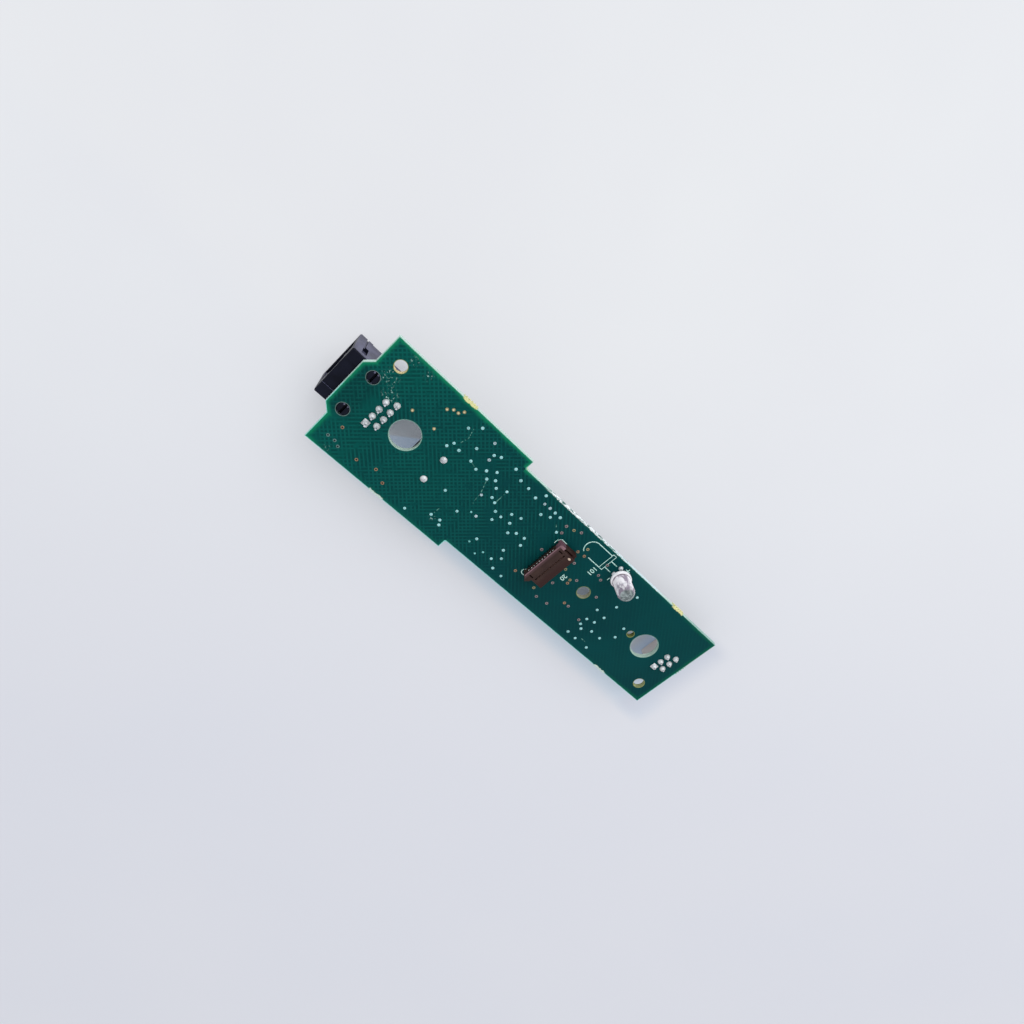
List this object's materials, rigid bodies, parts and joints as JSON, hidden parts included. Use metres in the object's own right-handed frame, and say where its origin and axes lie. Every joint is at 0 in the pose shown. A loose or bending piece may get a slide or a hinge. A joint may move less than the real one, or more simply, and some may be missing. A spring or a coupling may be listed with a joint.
{
  "type": "patient monitor control board",
  "caption": "Long stepped green circuit board with a modular jack below one end, a board link socket, a clear lamp on leads, a sounder and chips, and large fixing holes.",
  "frame": {"origin": "midway between the centres of the two large holes, on the face with the lamp and the link socket", "axes": "+X along the board from the jack to the flex socket, +Z out of the face with the lamp"},
  "size_m": [0.1345, 0.0364, 0.0266],
  "materials": {
    "solder_mask": "satin green solder mask on glass-fibre laminate",
    "jack_plastic": "satin black moulded plastic",
    "insert_plastic": "matt black moulded plastic",
    "contact_metal": "thinly plated spring bronze",
    "solder": "bright solder",
    "lead_metal": "tinned",
    "lens": "clear cast resin",
    "lamp_chip": "light source",
    "link_plastic": "matt dark brown moulded plastic",
    "flex_plastic": "ivory moulded plastic",
    "sounder_plastic": "matt black moulded plastic",
    "sounder_steel": "bare steel",
    "sounder_winding": "enamelled copper wire",
    "sounder_ferrite": "dark magnet",
    "chip_plastic": "matt black moulded plastic",
    "capacitor_ceramic": "tan ceramic",
    "resistor_ceramic": "black coated ceramic",
    "via_copper": "gold-flashed copper under thin mask"
  },
  "bodies": {
    "root": {"circuit_board": "solder_mask", "jack_housing": "jack_plastic", "jack_contact_insert": "insert_plastic", "jack_contacts": "contact_metal", "jack_solder_joints": "solder", "lamp_lens": "lens", "lamp_cathode_lead": "lead_metal", "lamp_anode_lead": "lead_metal", "lamp_chip": "lamp_chip", "lamp_solder_joints": "solder", "link_socket_housing": "link_plastic", "link_socket_contacts": "contact_metal", "flex_socket_housing": "flex_plastic", "flex_socket_contacts": "lead_metal", "flex_socket_solder_joints": "solder", "sounder_case": "sounder_plastic", "sounder_base": "sounder_plastic", "sounder_pins": "lead_metal", "sounder_core": "sounder_steel", "sounder_coil": "sounder_winding", "sounder_magnet": "sounder_ferrite", "sounder_disc": "sounder_steel", "sounder_solder_joints": "solder", "controller_body": "chip_plastic", "controller_leads": "lead_metal", "transceiver_body": "chip_plastic", "transceiver_leads": "lead_metal", "capacitor_bodies": "capacitor_ceramic", "capacitor_ends": "lead_metal", "resistor_bodies": "resistor_ceramic", "resistor_ends": "lead_metal", "soldered_vias": "solder", "open_vias": "via_copper"}
  },
  "joints": []
}
